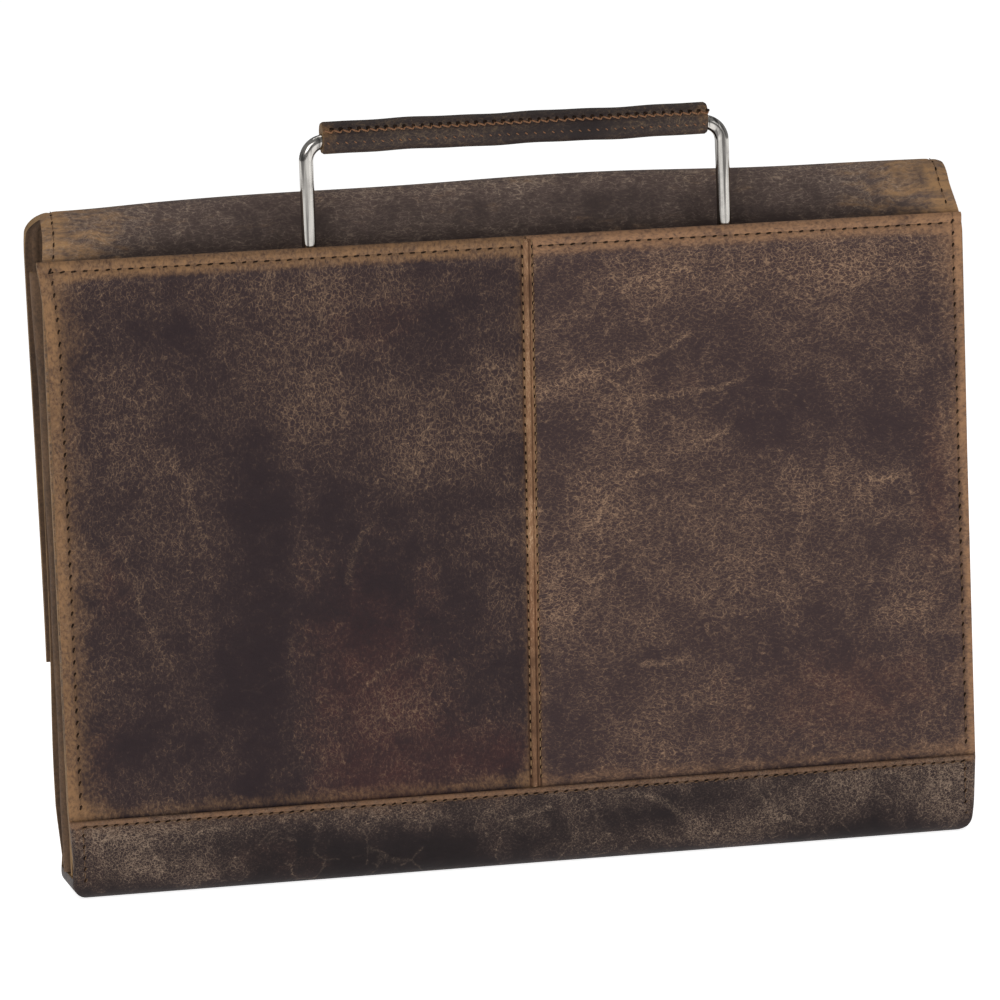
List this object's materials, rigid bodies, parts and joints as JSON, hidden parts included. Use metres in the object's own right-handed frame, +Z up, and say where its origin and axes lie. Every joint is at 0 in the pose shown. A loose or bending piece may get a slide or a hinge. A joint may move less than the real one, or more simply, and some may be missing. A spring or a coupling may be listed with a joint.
{
  "type": "leather document case",
  "caption": "Slim leather document case that stands on its base, with a slip pocket on the back, a flap over the top, folded side gussets and a sliding steel bow handle with a leather grip.",
  "frame": {"origin": "centre of the whole outline on the surface the case stands on", "axes": "+X to the right as one faces the back pocket, +Y from the back pocket towards the flap's front, +Z up"},
  "size_m": [0.3972, 0.036, 0.3155],
  "materials": {
    "body_leather": "oiled pull-up leather, worn lighter at the folds and edges",
    "left_panel_leather": "dark brown pull-up leather with fine pale crackle",
    "right_panel_leather": "brown pull-up leather with tan veins",
    "strip_leather": "worn tan leather strip",
    "band_leather": "grey-brown scuffed leather",
    "gusset_leather": "thin brown leather",
    "grip_leather": "dark brown leather wrapped and sewn round the rod",
    "handle_steel": "polished steel rod"
  },
  "bodies": {
    "case": {"back_wall_and_flap": "body_leather", "pocket_panel_left": "left_panel_leather", "pocket_panel_right": "right_panel_leather", "pocket_seam_strip": "strip_leather", "front_panel": "body_leather", "base_band": "band_leather", "gusset_left": "gusset_leather", "gusset_right": "gusset_leather", "handle_guide_left": "gusset_leather", "handle_guide_right": "gusset_leather"},
    "handle": {"handle_bow": "handle_steel", "handle_grip": "grip_leather"}
  },
  "joints": [
    {"name": "handle_slide", "type": "slide", "parent": "case", "child": "handle", "axis": [0, 0, 1], "range_m": [-0.037, 0]}
  ]
}
